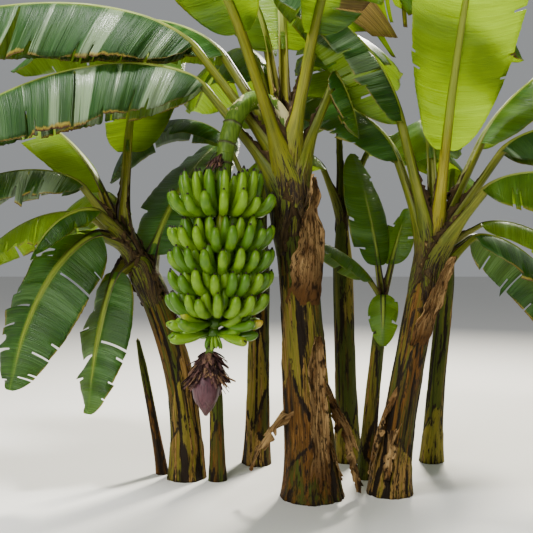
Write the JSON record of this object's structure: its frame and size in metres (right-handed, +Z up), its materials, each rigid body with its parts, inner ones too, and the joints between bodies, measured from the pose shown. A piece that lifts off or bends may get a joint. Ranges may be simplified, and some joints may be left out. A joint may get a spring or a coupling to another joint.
{
  "type": "banana plant",
  "caption": "Banana clump with a fruiting stem: leaning sheathed stems, broad arching leaves, a hanging bunch of green fruit and a purple bud.",
  "frame": {"origin": "middle of the flat cut under the fruiting stem, at ground level", "axes": "+Z up, +X to the right of someone who faces the plant's fruit, +Y away from them"},
  "size_m": [3.9593, 2.5563, 3.0263],
  "materials": {
    "stem": "satin",
    "leaf": "satin",
    "fruit": "satin",
    "stalk": "satin",
    "bud": "matt",
    "dry": "matt"
  },
  "bodies": {
    "root": {"dry_leaf_inner": "dry", "dry_leaf_left": "dry", "dry_leaf_right": "dry", "dry_sheath_main_high": "dry", "dry_sheath_main_low": "dry", "dry_sheath_right": "dry", "flower_bud": "bud", "fruit_stalk_arch": "stalk", "fruit_stalk_hanging": "stalk", "hand_1": "fruit", "hand_2": "fruit", "hand_3": "fruit", "hand_4": "fruit", "hand_5": "fruit", "hand_6": "fruit", "hand_7": "fruit", "leaf_left_arching": "leaf", "leaf_left_back": "leaf", "leaf_left_backlit": "leaf", "leaf_left_curled": "leaf", "leaf_left_hanging": "leaf", "leaf_left_long": "leaf", "leaf_left_low": "leaf", "leaf_left_rear": "leaf", "leaf_left_upright": "leaf", "leaf_main_back_left": "leaf", "leaf_main_back_low": "leaf", "leaf_main_back_right": "leaf", "leaf_main_behind": "leaf", "leaf_main_broken_blade": "leaf", "leaf_main_broken_petiole": "leaf", "leaf_main_front": "leaf", "leaf_main_high": "leaf", "leaf_main_long": "leaf", "leaf_main_right_front": "leaf", "leaf_main_torn": "leaf", "leaf_main_upright": "leaf", "leaf_right_back": "leaf", "leaf_right_behind": "leaf", "leaf_right_front": "leaf", "leaf_right_low": "leaf", "leaf_right_low_side": "leaf", "leaf_right_over": "leaf", "leaf_right_side": "leaf", "leaf_right_tall": "leaf", "leaves_back_left": "leaf", "leaves_back_right": "leaf", "leaves_right_rear": "leaf", "leaves_sucker": "leaf", "spent_flowers": "dry", "stem_back_left": "stem", "stem_back_right": "stem", "stem_dead_left": "dry", "stem_left": "stem", "stem_main": "stem", "stem_right": "stem", "stem_right_rear": "stem", "stem_stub": "stem", "stem_sucker": "stem"}
  },
  "joints": []
}
